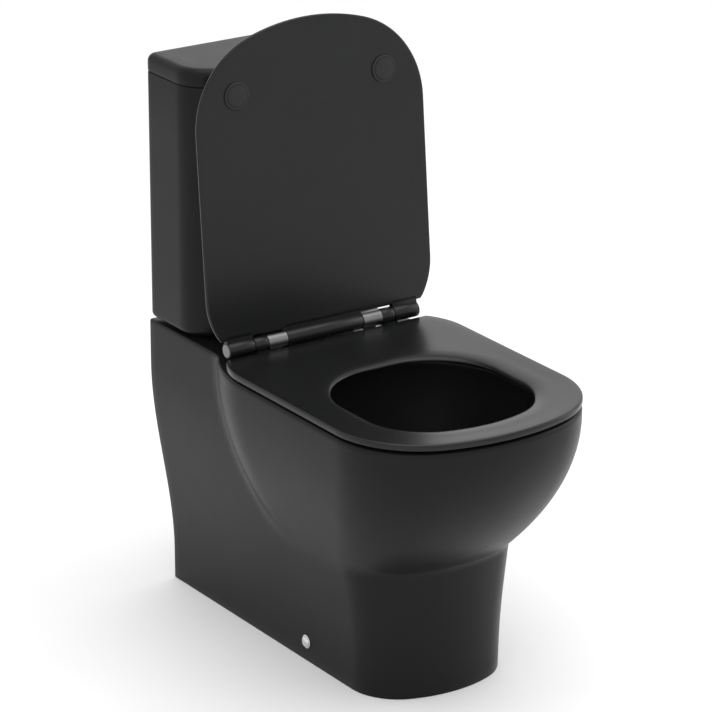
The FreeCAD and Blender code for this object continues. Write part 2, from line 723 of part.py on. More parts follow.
def make_coupling():
    """Two bolts and a foam ring hold and seal the cistern to the pan's deck."""
    x, radius = S.coupling_spread / 2, S.bolt_diameter / 2
    loose = radius + S.running_gap
    seal = Size.of(3.0)
    head = TANK_FLOOR + seal
    length = head - DECK_UNDER + 36
    shank = cylinder(radius, length, x, FLUSH_Y, head - length)
    cap = cylinder(radius * 2.4, 5, x, FLUSH_Y, head)
    node("coupling_bolts", pair(join(shank, cap)))
    node("bolt_seals", pair(tube(13, loose, seal, x, FLUSH_Y, TANK_FLOOR)))
    node("coupling_washers", pair(tube(12, loose, Size.of(2.0), x, FLUSH_Y, DECK_UNDER - 2)))
    wing = box(x - 2, x + 2, FLUSH_Y - 18, FLUSH_Y + 18, DECK_UNDER - 12, DECK_UNDER - 4)
    boss = cylinder(8, 10, x, FLUSH_Y, DECK_UNDER - 12)
    wing_hole = cylinder(loose, 12, x, FLUSH_Y, DECK_UNDER - 13)
    node("coupling_nuts", pair(cut(join(boss, wing), wing_hole)))
    gasket_depth = S.gasket_depth + S.cistern_gap
    node("coupling_gasket", tube(
        S.gasket_diameter / 2, 37.5, gasket_depth, ZERO, FLUSH_Y, S.rim_height - S.gasket_depth
    ))


# ---------------------------------------------------------------- flush valve
STEM = 14.0


def make_flush_valve():
    """The outlet seat clamped in the tank floor, its cage and hood, and the lifting seal and tube."""
    washer = Size.of(2.0)
    seat_top = TANK_FLOOR + washer + 4
    base = turned([
        (24, 0), (28, 0), (28, S.cistern_floor + S.cistern_gap + 8 + washer),
        (42, S.cistern_floor + S.cistern_gap + 8 + washer),
        (42, S.cistern_floor + S.cistern_gap + 12 + washer),
        (24, S.cistern_floor + S.cistern_gap + 12 + washer),
    ])
    node("valve_base", move(base, ZERO, FLUSH_Y, S.rim_height - 8))
    node("valve_washer", tube(40, 28 + S.running_gap, washer, ZERO, FLUSH_Y, TANK_FLOOR))
    node("valve_nut", hexagon(36, 28 + S.running_gap, 10, ZERO, FLUSH_Y, CISTERN_BASE - 10))

    tower_height = Size.of(176.0)
    hood_height = Size.of(84.0)
    tower = turned([
        (38, 0), (41, 0), (41, tower_height), (STEM + 1, tower_height),
        (STEM + 1, tower_height - 3), (38, tower_height - 3),
    ])
    move(tower, ZERO, FLUSH_Y, seat_top)
    window = Size.of(44.0)
    across = box(Size.of(-50), Size.of(50), FLUSH_Y - 18, FLUSH_Y + 18, seat_top + 5, seat_top + 5 + window)
    along = box(Size.of(-18), Size.of(18), FLUSH_Y - 50, FLUSH_Y + 50, seat_top + 5, seat_top + 5 + window)
    node("valve_tower", cut(tower, join(across, along)))
    hood = turned([
        (24, 0), (27, 0), (27, hood_height), (0, hood_height), (0, hood_height - 3), (24, hood_height - 3),
    ])
    hood_base = seat_top + tower_height
    move(hood, ZERO, FLUSH_Y, hood_base)
    rod_hole = 3.4
    hole_base = hood_base + hood_height - 6
    rod_holes = [cylinder(rod_hole, 10, x, FLUSH_Y, hole_base) for x in (Size.of(-8), Size.of(8))]
    node("valve_hood", cut(hood, join(*rod_holes)))

    seal = tube(31, 5, Size.of(4.0), ZERO, FLUSH_Y, seat_top + REST_GAP)
    node("flush_seal", seal)
    stem_top = hood_base + hood_height - 3 - S.valve_lift - 24
    stem_bottom = seat_top + REST_GAP + 4
    node("overflow_tube", tube(STEM, STEM - 2.5, stem_top - stem_bottom, ZERO, FLUSH_Y, stem_bottom))
    return hood_base + hood_height


# ---------------------------------------------------------------- flush button
def make_buttons(hood_top):
    """The dual flush button in the cistern lid: bezel, nut, two sprung halves and their push rods."""
    shelf = COVER_UNDER - 11
    depth = COVER_TOP - shelf
    flange = S.button_diameter / 2
    bezel = turned([
        (0, 0), (19, 0), (19, depth), (flange, depth), (flange, depth + 1.2), (flange - 1.5, depth + 3),
        (16.5, depth + 3), (16.5, 2), (0, 2),
    ])
    move(bezel, ZERO, FLUSH_Y, shelf)
    holes = [cylinder(3.3, 6, x, FLUSH_Y, shelf - 2) for x in (Size.of(-8), Size.of(8))]
    node("button_bezel", cut(bezel, join(*holes)))
    node("button_nut", hexagon(27, 19 + S.running_gap, 7, ZERO, FLUSH_Y, COVER_UNDER - 7))

    split = 0.3
    bottom = shelf + 2 + S.button_travel + 5
    height = COVER_TOP + 2.4 - bottom
    low, high = Size.of(-20), Size.of(20)
    rod_bottom = hood_top - 9
    halves = (
        ("full", low, Size.of(3 - split), Size.of(-8)),
        ("half", Size.of(3 + split), high, Size.of(8)),
    )
    for name, x0, x1, rod_x in halves:
        disc = cylinder(16.2, height, ZERO, FLUSH_Y, bottom)
        side = box(x0, x1, FLUSH_Y - 20, FLUSH_Y + 20, bottom - 1, bottom + height + 1)
        node(f"{name}_flush_button", overlap(disc, side))
        node(f"{name}_push_rod", cylinder(3, bottom - rod_bottom, rod_x, FLUSH_Y, rod_bottom))
        coil = tube(4.6, 3.5, bottom - shelf - 2 - 0.2, rod_x, FLUSH_Y, shelf + 2.1)
        node(f"{name}_spring", coil)


# ---------------------------------------------------------------- filling valve
def make_filler():
    """Bottom entry filling valve with the float that rides on its column."""
    x, y = INLET_X, INLET_Y
    radius = S.inlet_thread / 2
    neck = radius + INLET_STEP
    washer = Size.of(2.0)
    flange = TANK_FLOOR + washer
    tail = Size.of(48.0)
    shank_length = flange - CISTERN_BASE + tail
    shank = turned([
        (6, 0), (radius, 0), (radius, tail - 9), (neck, tail - 9), (neck, shank_length),
        (17, shank_length), (17, shank_length + 4),
        (12, shank_length + 4), (12, shank_length + 12), (6, shank_length + 12),
    ])
    node("inlet_shank", move(shank, x, y, CISTERN_BASE - tail))
    node("inlet_washer", tube(16, neck + S.running_gap, washer, x, y, TANK_FLOOR))
    node("inlet_nut", hexagon(18, neck + S.running_gap, 9, x, y, CISTERN_BASE - 9))

    column_base = flange + 12
    column_height = Size.of(232.0)
    column = turned([
        (8, 0), (12, 0), (12, 90), (15, 90), (15, 94), (11, 94), (11, column_height), (8, column_height),
    ])
    node("filler_column", move(column, x, y, column_base))
    head_base = column_base + column_height
    head = turned([
        (0, 0), (19, 0), (19, 22), (15, 28), (6, 28), (6, 34), (0, 34),
    ])
    node("filler_head", move(head, x, y, head_base))
    cup = turned([
        (12.5, 0), (25, 0), (25, 46), (22.5, 46), (22.5, 3), (15, 3), (15, 46), (12.5, 46),
    ])
    float_base = column_base + 94 + REST_GAP
    node("float_cup", move(cup, x, y, float_base))
    rod_length = column_height - 94 - 2 * REST_GAP - 3 - S.float_travel - 5
    node("float_rod", cylinder(1.8, rod_length, x - 18.75, y, float_base + 3))


# ---------------------------------------------------------------- floor fixing
def make_fixings():
    """Brackets inside the skirt, the side screws that hold the pan to them, and the chrome caps."""
    y, z = FRONT + S.fixing_setback, S.fixing_height
    outside = S.foot_width / 2
    wall_x = outside - S.china_wall - 1
    upright = box(wall_x - 8, wall_x, y - 22, y + 22, ZERO, Size.of(50))
    flange = box(wall_x - 40, wall_x, y - 22, y + 22, ZERO, Size.of(6))
    screw_radius = Size.of(2.9)
    side_hole = cylinder(screw_radius + S.running_gap, 20, wall_x - 14, y, z, "X")
    floor_hole = cylinder(3.5, 10, wall_x - 27, y, Size.of(-2))
    node("floor_brackets", pair(cut(join(upright, flange), join(side_hole, floor_hole))))
    screw = cylinder(screw_radius, 30, outside - 34, y, z, "X")
    head = cylinder(5.2, 4, outside - 4, y, z, "X")
    node("side_screws", pair(join(screw, head)))
    cap_radius = S.cap_diameter / 2
    cap = turned([
        (0, 0), (cap_radius, 0), (cap_radius, 1.4), (cap_radius - 2, 3.4), (cap_radius - 5.5, 4.4), (0, 4.8),
    ])
    node("cover_caps", pair(move(cap, outside + 0.4, y, z, ALONG["X"])))


def export():
    """Stops at any failed object or bad shape, then writes each piece to its own file."""
    DOC.recompute()
    for thing in DOC.Objects:
        if "Invalid" in thing.State or "Error" in thing.State:
            raise RuntimeError(f"{thing.Name} ({thing.Label}) failed: {thing.State}")
    for name, thing in NODES.items():
        if thing.Shape.isNull() or not thing.Shape.isValid() or not thing.Shape.Solids:
            raise RuntimeError(f"{name} has no valid solid")
    os.makedirs("parts", exist_ok=True)
    for name, thing in NODES.items():
        thing.Shape.exportStep(f"parts/{name}.step")


make_pan()
make_cistern()
make_seat()
make_coupling()
HOOD_TOP = make_flush_valve()
make_buttons(HOOD_TOP)
make_filler()
make_fixings()
export()
print(len(NODES), "pieces written")
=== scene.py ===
"""A satin black close coupled toilet: the pieces that show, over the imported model.

Shapes are worked out in millimetres in the part's own frame, X across, -Y to the front and Z up,
and go into their meshes in metres."""

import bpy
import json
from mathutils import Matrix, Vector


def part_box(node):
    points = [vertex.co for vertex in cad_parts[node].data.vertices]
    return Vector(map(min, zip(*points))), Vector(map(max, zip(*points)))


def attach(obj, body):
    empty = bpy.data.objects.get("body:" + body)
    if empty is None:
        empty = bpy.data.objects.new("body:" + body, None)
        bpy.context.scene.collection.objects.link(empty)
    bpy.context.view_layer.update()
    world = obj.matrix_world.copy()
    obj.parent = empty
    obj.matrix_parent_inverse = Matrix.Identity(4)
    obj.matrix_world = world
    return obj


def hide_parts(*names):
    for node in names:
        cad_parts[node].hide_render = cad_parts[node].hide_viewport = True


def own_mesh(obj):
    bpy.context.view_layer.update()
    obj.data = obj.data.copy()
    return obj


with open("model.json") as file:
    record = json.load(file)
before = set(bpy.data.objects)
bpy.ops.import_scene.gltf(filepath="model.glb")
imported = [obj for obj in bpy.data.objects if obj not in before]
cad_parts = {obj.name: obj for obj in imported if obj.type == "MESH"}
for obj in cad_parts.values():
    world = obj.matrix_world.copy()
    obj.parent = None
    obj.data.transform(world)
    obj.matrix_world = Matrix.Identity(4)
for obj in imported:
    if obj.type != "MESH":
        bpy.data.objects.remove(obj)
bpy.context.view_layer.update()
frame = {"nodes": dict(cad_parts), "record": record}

import json
import math

import bmesh
import bpy
import numpy as np

MM = 0.001
NODES = frame["nodes"]


def millimetres(node):
    """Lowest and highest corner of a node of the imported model."""
    low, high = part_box(node)
    return np.array(low) / MM, np.array(high) / MM


# ---------------------------------------------------------------- shared measures
BACK = millimetres("cistern")[1][1]
RIM = millimetres("pan")[1][2]
SEAT_LOW, SEAT_HIGH = millimetres("seat_ring")
FRONT = SEAT_LOW[1]
HALF_WIDTH = SEAT_HIGH[0]
CISTERN_LOW, CISTERN_HIGH = millimetres("cistern")
COVER_LOW, COVER_HIGH = millimetres("cistern_lid")
PIN_LOW, PIN_HIGH = millimetres("hinge_pins")
HINGE_Y = (PIN_LOW[1] + PIN_HIGH[1]) / 2
HINGE_Z = (PIN_LOW[2] + PIN_HIGH[2]) / 2
END_WALL = 5.0
HINGE_END = PIN_HIGH[0] + END_WALL
OPEN_ANGLE = math.radians(95)
SEAT_NOSE, SEAT_CORNER, SEAT_HEEL = 300.0, 130.0, 100.0  # radii of the seat's plan
CHINA = 11.0  # wall of the casting
DECK = 14.0  # thickness under the cistern
DECK_UNDER = RIM - DECK


# ---------------------------------------------------------------- formulas
def smooth_step(share):
    """Rises from 0 to 1 with level ends: three squares less two cubes of the share."""
    share = np.clip(share, 0.0, 1.0)
    return share * share * (3 - 2 * share)


def smooth_max(a, b, melt):
    """The larger of a and b, with a soft fillet where they are less than melt apart: the gap's
    shortfall, cubed, is added at a sixth of melt."""
    nearness = np.clip(melt - np.abs(a - b), 0, None) / melt
    return np.maximum(a, b) + nearness ** 3 * melt / 6


def halves(*counts):
    """Places round a D-shaped plan, for the five stretches of one half: back, heel, side, corner
    and nose. 0 is the middle of the back and 5 the nose's tip; the left half is negative."""
    right = np.concatenate([
        stretch + np.arange(count) / count for stretch, count in enumerate(counts)
    ])
    right = np.append(right, 5.0)
    return np.concatenate([right, -right[-2:0:-1]])


STRIP_START = 0.8  # share of the back's places where the strip beside the heel starts


def d_plan(places, half, front, back, nose, corner, heel, strip=0.0):
    """A D-shaped plan. The nose arc is centred on the middle line, the corner arc touches it from
    inside and touches the straight side, and the heel arc turns into the straight back. A strip
    beside each heel takes the last fifth of the back's places."""
    side = np.abs(places)
    nose_y = front + nose
    corner_x = half - corner
    corner_y = nose_y - np.sqrt((nose - corner) ** 2 - corner_x ** 2)
    turn = np.arctan2(corner_y - nose_y, corner_x)
    share = side - np.floor(np.minimum(side, 4.999))
    flat = half - heel - strip
    in_strip = (share - STRIP_START) / (1 - STRIP_START)
    back_x = np.where(share < STRIP_START, flat * share / STRIP_START, flat + strip * in_strip)
    back_x = np.where(strip > 0, back_x, (half - heel) * share)
    heel_turn = share * math.pi / 2
    corner_turn = turn * share
    nose_turn = turn + (-math.pi / 2 - turn) * share
    start_y = back - heel
    stretches = [side < 1, side < 2, side < 3, side < 4]
    x = np.select(stretches, [
        back_x, half - heel + heel * np.sin(heel_turn), half + 0 * share,
        corner_x + corner * np.cos(corner_turn),
    ], nose * np.cos(nose_turn))
    y = np.select(stretches, [
        back + 0 * share + 0 * half, start_y + heel * np.cos(heel_turn),
        start_y + (corner_y - start_y) * share, corner_y + corner * np.sin(corner_turn),
    ], nose_y + nose * np.sin(nose_turn))
    return np.stack([x * np.sign(places + 1e-9), y], axis=-1)


FINE = np.linspace(0, 5, 401)
DIRECTIONS = np.linspace(0, math.pi, 361)


def heading(plan, centre_y):
    """Angle from the forward direction and distance, seen from a point on the middle line."""
    across, ahead = plan[..., 0], centre_y - plan[..., 1]
    return np.arctan2(across, ahead), np.hypot(across, ahead)


def reach_table(sizes, heights, centre_y):
    """Distance from the middle line out to a plan, one row a height and one column a direction."""
    plan = d_plan(FINE, *[np.asarray(size)[:, None] for size in sizes(heights)])
    angle, distance = heading(plan, centre_y)
    return np.array([
        np.interp(DIRECTIONS, row[::-1], far[::-1]) for row, far in zip(angle, distance)
    ])


def reach(table, heights, z, angle):
    """Reads a reach table between its rows and columns, in proportion."""
    row = np.clip((z - heights[0]) / (heights[1] - heights[0]), 0, len(heights) - 1.001)
    column = np.clip(np.abs(angle) / DIRECTIONS[1], 0, len(DIRECTIONS) - 1.001)
    r, c = np.floor(row).astype(int), np.floor(column).astype(int)
    fr, fc = row - r, column - c
    low = table[r, c] * (1 - fc) + table[r, c + 1] * fc
    high = table[r + 1, c] * (1 - fc) + table[r + 1, c + 1] * fc
    return low * (1 - fr) + high * fr


def inset(plan, distance):
    """Moves a closed plan inwards along its normals."""
    along = np.roll(plan, -1, axis=-2) - np.roll(plan, 1, axis=-2)
    along = along / np.linalg.norm(along, axis=-1, keepdims=True)
    normal = np.stack([along[..., 1], -along[..., 0]], axis=-1)
    return plan + normal * np.asarray(distance)[..., None]


def with_height(plan, z):
    """Gives each place of a plan its height."""
    return np.concatenate([plan, np.broadcast_to(z, plan.shape[:-1])[..., None]], axis=-1)


# ---------------------------------------------------------------- meshes
def sheet(points, keep=None, rows_wrap=False):
    """Corners and four-sided faces of a grid whose columns close on themselves. The faces are
    turned so that the closed shape has a positive volume."""
    rows, columns = points.shape[:2]
    index = np.arange(rows * columns).reshape(rows, columns)
    here = index if rows_wrap else index[:-1]
    above = np.roll(index, -1, axis=0)[: len(here)]
    faces = np.stack([here, np.roll(here, -1, 1), np.roll(above, -1, 1), above], axis=-1)
    faces = faces.reshape(-1, 4) if keep is None else faces[keep]
    corners = points.reshape(-1, 3)
    a, b, c, d = (corners[faces[:, k]] for k in range(4))
    volume = (a * (np.cross(b, c) + np.cross(c, d))).sum()
    return corners, faces if volume > 0 else faces[:, ::-1]


def place_in_scene(name, data):
    """Puts a mesh, a lamp or a camera into the scene."""
    thing = bpy.data.objects.new(name, data)
    bpy.context.scene.collection.objects.link(thing)
    return thing


WELD = 2e-6  # metres


def piece(name, sheets, body, slot, replaced=(), crease=38):
    """One object from closed sheets: corners that meet are welded, and edges sharper than the
    crease angle stay crisp."""
    corners, faces, start = [], [], 0
    for points, quads in sheets:
        corners.append(points * MM)
        faces.append(quads + start)
        start += len(points)
    mesh = bpy.data.meshes.new(name)
    mesh.from_pydata(np.concatenate(corners), [], np.concatenate(faces))
    work = bmesh.new()
    work.from_mesh(mesh)
    bmesh.ops.remove_doubles(work, verts=work.verts, dist=WELD)
    work.to_mesh(mesh)
    work.free()
    mesh.polygons.foreach_set("use_smooth", np.ones(len(mesh.polygons), bool))
    mesh.set_sharp_from_angle(angle=math.radians(crease))
    thing = place_in_scene(name, mesh)
    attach(thing, body)
    if replaced:
        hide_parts(*replaced)
    thing.data.materials.append(FINISHES[slot])
    return thing


def turned(profile, centre, along, count=64):
    """A profile of (radius, distance) carried round an axis. The axis starts at centre and runs
    along +X, -X or +Z."""
    profile = np.array(profile, float)
    around = np.arange(count) / count * 2 * math.pi
    radius, step = profile[:, 0][:, None], profile[:, 1][:, None] + 0 * around
    u, v = radius * np.cos(around), radius * np.sin(around)
    axes = {"+X": (step, u, v), "-X": (-step, u, v), "+Z": (u, v, step)}
    return sheet(np.stack(axes[along], axis=-1) + np.array(centre))


def quarter(count):
    """Sines and cosines over a quarter turn."""
    angle = np.linspace(0, math.pi / 2, count)
    return np.sin(angle), np.cos(angle)


# ---------------------------------------------------------------- pan
PAN_PLACES = halves(15, 4, 34, 26, 22)
OPENING_EDGE = STRIP_START

# casing: its plan at the floor, how its front stands back and leans, and how it spreads upwards
FOOT_HALF, FOOT_NOSE, FOOT_CORNER, BACK_EDGE = 112.0, 180.0, 75.0, 4.0
FOOT_SETBACK, FOOT_LEAN, FOOT_BEVEL = 124.5, 8.0, 1.5
SKIRT_SPREAD = 33.5
SPREAD_START, SPREAD_SPAN = 0.11, 0.73

# bowl: its plan at the neck, the heights where it starts to grow, and how fast and far it grows
NECK_HALF, NECK_SETBACK, NECK_BACK = 120.0, 116.5, -1.5
NECK_LOW, NECK_HIGH = 120.0, 235.0
SIDE_START, NOSE_START = 165.0, 185.0
FULL_BELOW, SWELL_POWER = 15.0, 1.9
BOWL_SHIFT, RIM_CLEAR = 42.0, 0.5
MELT = 11.0
BODY_MIDDLE = 0.0

# basin: the bowl's inside at the rim, and the shares by which it shrinks down to the sump
SUMP_BASE = 105.0
BASIN_LEVELS = np.linspace(SUMP_BASE, RIM, 160)
BASIN_MIDDLE = FRONT + 256
BASIN_HALF, BASIN_AHEAD, BASIN_BEHIND = 135.0, 213.5, 88.5
BASIN_NARROWS, BASIN_SHORTENS, NARROWING_POWER = 0.72, 0.74, 1.15
BASIN_NOSE, BASIN_CORNER, BASIN_HEEL = 1.4, 0.86, 0.92
BOWL_MIDDLE = -92.0
LIP = 9.0

# trap: radii, then its centre line seen from the side, from under the sump to the spigot's end
TRAP_BORE, TRAP_RADIUS, SPIGOT_RADIUS = 38.0, 48.0, 51.0
TRAP_START_Z, TRAP_TOP_Z, OUTLET_Z = 119.0, 244.0, 185.0
SPIGOT_START, SPIGOT_END = BACK - 90, BACK - 20
TRAP_LINE = np.array([
    (-60, TRAP_START_Z), (-6.5, TRAP_START_Z), (88.5, TRAP_TOP_Z), (143.5, TRAP_TOP_Z),
    (223.5, OUTLET_Z), (SPIGOT_END, OUTLET_Z),
])
INNER_BEND_RISE, OUTER_BEND_RISE = 46.0, 53.0
INNER_CROOK_Y, OUTER_CROOK_Y = -37.0, -30.0


def skirt_sizes(z):
    """The casing that stands on the floor: it widens upwards between a ninth and five sixths of
    the rim's height."""
    grow = SKIRT_SPREAD * smooth_step((z / RIM - SPREAD_START) / SPREAD_SPAN)
    front = FRONT + FOOT_SETBACK - FOOT_LEAN * z / SIDE_START
    still = 0 * z
    return FOOT_HALF + grow, front, BACK + still, FOOT_NOSE + grow, FOOT_CORNER + grow / 2, BACK_EDGE + still


def swell(z, start):
    """Share of the bowl's full girth: fast growth above its start that dies out near the rim."""
    rise = np.clip((z - start) / (RIM - FULL_BELOW - start), None, 1)
    return 1 - (1 - rise) ** SWELL_POWER


def bowl_sizes(z):
    """The bowl's outside, a D that grows from the neck to the rim."""
    z = np.maximum(z, NECK_LOW)
    side, nose = swell(z, SIDE_START), swell(z, NOSE_START)
    half = NECK_HALF + (HALF_WIDTH - RIM_CLEAR - NECK_HALF) * side
    front = FRONT + NECK_SETBACK - (NECK_SETBACK - RIM_CLEAR) * nose
    back = BOWL_SHIFT * side + NECK_BACK + half
    scale = half / HALF_WIDTH
    return half, front, back, SEAT_NOSE * scale, SEAT_CORNER * scale, half - 1


def basin_sizes(z, grow=0.0):
    """The bowl's inside, a D that shrinks in both directions down to the sump."""
    fall = smooth_step((RIM - z) / (RIM - SUMP_BASE))
    across = BASIN_HALF * (1 - BASIN_NARROWS * fall ** NARROWING_POWER) + grow
    along = 1 - BASIN_SHORTENS * fall
    front = BASIN_MIDDLE - BASIN_AHEAD * along - grow
    back = BASIN_MIDDLE + BASIN_BEHIND * along + grow
    return across, front, back, BASIN_NOSE * across, BASIN_CORNER * across, BASIN_HEEL * across


def casing(z):
    """Skirt and bowl seen from above, melted into one another: each place of the skirt's plan is
    pushed out from the middle to the smooth maximum of both."""
    column = z[:, None]
    plan = d_plan(PAN_PLACES, *skirt_sizes(column), strip=CHINA - BACK_EDGE)
    heights = np.linspace(100, RIM, 151)
    table = reach_table(bowl_sizes, heights, BODY_MIDDLE)
    angle, distance = heading(plan, BODY_MIDDLE)
    out = smooth_max(distance, reach(table, heights, column + 0 * angle, angle), MELT)
    scale = (out / distance)[..., None]
    middle = np.array([0.0, BODY_MIDDLE])
    return middle + (plan - middle) * scale


def lining_plan(z):
    """Inside of the casing, a wall's thickness in. It is a U that is open at the back."""
    half, front, back, nose, corner, _heel = skirt_sizes(z)
    side = np.abs(PAN_PLACES)
    moved = np.where(side < 3, 2 + (side - OPENING_EDGE) / (3 - OPENING_EDGE), side)
    moved = np.where(side <= OPENING_EDGE, side / OPENING_EDGE, moved) * np.sign(PAN_PLACES + 1e-9)
    return d_plan(moved, half - CHINA, front + CHINA, back, nose - CHINA, corner - CHINA, 0 * half)


def around_bowl(far, angle, z):
    """Places at given distances, directions and heights round the bowl's middle."""
    return np.stack([far * np.sin(angle), BOWL_MIDDLE - far * np.cos(angle), z + 0 * angle], axis=-1)


def elbow(outline, bore, crook_y, turns):
    """The bend from the sump into the trap: a flat section swings about a level axis in the crook
    and changes from the bowl's plan to a circle as it goes."""
    crook_z = outline[0, 2]
    angle, _ = heading(outline[:, :2], BOWL_MIDDLE)
    depth, across = crook_y - outline[:, 1], outline[:, 0]
    middle = crook_z - TRAP_START_Z
    share = smooth_step(turns)[:, None]
    depth = depth * (1 - share) + (middle + bore * np.cos(angle)) * share
    across = across * (1 - share) + bore * np.sin(angle) * share
    swing = (turns * math.pi / 2)[:, None]
    return np.stack([
        across, crook_y - depth * np.cos(swing), crook_z - depth * np.sin(swing),
    ], axis=-1)


def trap_line(start_y, steps):
    """Points and headings of the trap's centre line: straight runs averaged over a short stretch."""
    overrun, window, ends = 60, 61, 45
    legs = np.hypot(*np.diff(TRAP_LINE, axis=0).T)
    mile = np.concatenate([[0], np.cumsum(legs)])
    place = np.arange(-overrun, mile[-1] + overrun, 1.0)
    y = np.interp(place, mile, TRAP_LINE[:, 0]) + np.minimum(place, 0) + np.maximum(place - mile[-1], 0)
    z = np.interp(place, mile, TRAP_LINE[:, 1])
    weights = np.hanning(window) / np.hanning(window).sum()
    y, z = (np.convolve(line, weights, "same")[ends:-ends] for line in (y, z))
    order = np.linspace(start_y, SPIGOT_END, steps)
    z_at = np.interp(order, y, z)
    slope = np.gradient(z_at, order)
    length = np.hypot(1, slope)
    return order, z_at, 1 / length, slope / length


def tube_round(angle, radius, y, z, ahead_y, ahead_z):
    """Rings of a tube square to its line, one row a step."""
    radius = np.broadcast_to(np.asarray(radius, float), y.shape)[:, None]
    away, across = radius * np.cos(angle), radius * np.sin(angle)
    return np.stack([
        across, y[:, None] + away * ahead_z[:, None], z[:, None] - away * ahead_y[:, None],
    ], axis=-1)


def casing_rows():
    """The casing from the floor up, with a small bevel at the foot and an edge at the rim that is
    rounder towards the nose; and the heights of its upright rows."""
    side = np.abs(PAN_PLACES)
    half_bevel = 0.3 * FOOT_BEVEL
    body_z = np.concatenate([
        [0, half_bevel], np.linspace(FOOT_BEVEL, NECK_LOW, 9)[:-1], np.linspace(NECK_LOW, NECK_HIGH, 38)[:-1],
        np.linspace(NECK_HIGH, DECK_UNDER, 24), [RIM - LIP],
    ])
    bevel = np.zeros(len(body_z))
    bevel[:2] = FOOT_BEVEL, half_bevel
    wall = inset(casing(body_z), bevel[:, None] * smooth_step(side - 1))
    edge = 3.5 + 3.0 * smooth_step(side - 2)
    turn = np.radians(np.linspace(0, 90, 6))[:, None]
    top = casing(np.array([RIM]))[0] + 0 * turn[..., None]
    round_over = with_height(inset(top, edge * (1 - np.cos(turn))), RIM - edge * (1 - np.sin(turn)))
    return body_z, np.concatenate([with_height(wall, body_z[:, None]), round_over])


def basin_rows(rim_edge):
    """From the rim's edge over its top and lip, down the bowl, round the elbow and along the
    trap's bore to the spigot's end."""
    basin = reach_table(basin_sizes, BASIN_LEVELS, BOWL_MIDDLE)
    angle, _ = heading(rim_edge[:, :2], BOWL_MIDDLE)
    turn = np.radians(np.linspace(0, 90, 7))[:, None]
    lip_z = RIM - LIP * (1 - np.cos(turn)) + 0 * angle
    lip = around_bowl(reach(basin, BASIN_LEVELS, lip_z, angle) + LIP * (1 - np.sin(turn)), angle, lip_z)
    share = np.linspace(0, 1, 7)[1:-1, None, None]
    rim_top = rim_edge * (1 - share) + lip[0] * share
    basin_z = np.linspace(RIM - LIP, TRAP_START_Z + INNER_BEND_RISE, 44)[1:, None]
    bowl = around_bowl(reach(basin, BASIN_LEVELS, basin_z + 0 * angle, angle), angle, basin_z)
    bend = elbow(bowl[-1], TRAP_BORE, INNER_CROOK_Y, np.linspace(0, 1, 17)[1:])
    bore = tube_round(angle, TRAP_BORE, *trap_line(INNER_CROOK_Y, 44))[1:]
    return np.concatenate([rim_top, lip, bowl, bend, bore])


def lining_tops(under):
    """Height where each place of the lining meets the bowl's underside, found between two levels
    in proportion, or else the underside of the deck."""
    angle, far = heading(lining_plan(BASIN_LEVELS[:, None]), BOWL_MIDDLE)
    gap = far - reach(under, BASIN_LEVELS, BASIN_LEVELS[:, None] + 0 * angle, angle)
    meets = (gap < 0) & (BASIN_LEVELS <= DECK_UNDER)[:, None]
    first = np.argmax(meets, axis=0)
    column = np.arange(len(PAN_PLACES))
    gap_low, gap_high = gap[first - 1, column], gap[first, column]
    level = BASIN_LEVELS[1] - BASIN_LEVELS[0]
    crossing = BASIN_LEVELS[first - 1] + level * gap_low / (gap_low - gap_high + 1e-9)
    return np.where(meets.any(axis=0), np.minimum(crossing, DECK_UNDER), DECK_UNDER)


def spigot_rows(angle):
    """The spigot's shoulder, its outside, its bevelled end and the start of its bore."""
    bevel = 1.5
    places = np.array([SPIGOT_START, SPIGOT_START + 1, SPIGOT_END - bevel, *[SPIGOT_END] * 3])
    radius = np.array([
        TRAP_RADIUS, SPIGOT_RADIUS, SPIGOT_RADIUS, SPIGOT_RADIUS - bevel, 43, TRAP_BORE + 1,
    ])
    return tube_round(angle, radius, places, np.full(6, OUTLET_Z), np.ones(6), np.zeros(6))


def lining_rows(wall_z):
    """Up the lining, along the underside of the deck, down the bowl's underside, round the elbow
    and along the trap's outside to the spigot's end."""
    under = reach_table(lambda z: basin_sizes(z, CHINA), BASIN_LEVELS, BOWL_MIDDLE)
    ceiling = lining_tops(under)
    lining_z = (wall_z / DECK_UNDER)[:, None] * ceiling
    lining = with_height(lining_plan(lining_z), lining_z)
    angle, top_far = heading(lining[-1, :, :2], BOWL_MIDDLE)
    drop = np.linspace(0, 1, 24)[:, None]
    under_z = ceiling + (TRAP_START_Z + OUTER_BEND_RISE - ceiling) * drop
    far = reach(under, BASIN_LEVELS, under_z, angle + 0 * drop)
    far[0] = np.minimum(reach(under, BASIN_LEVELS, ceiling, angle), top_far)
    underside = around_bowl(far, angle, under_z)
    bend = elbow(underside[-1], TRAP_RADIUS, OUTER_CROOK_Y, np.linspace(0, 1, 13)[1:])
    line = trap_line(OUTER_CROOK_Y, 40)
    trap = tube_round(angle, TRAP_RADIUS, *line)[1:][line[0][1:] < SPIGOT_START]
    share = np.linspace(0, 1, 7)[1:-1, None, None]
    deck = lining[-1] * (1 - share) + underside[0] * share
    return np.concatenate([lining, deck, underside, bend, trap, spigot_rows(angle)])


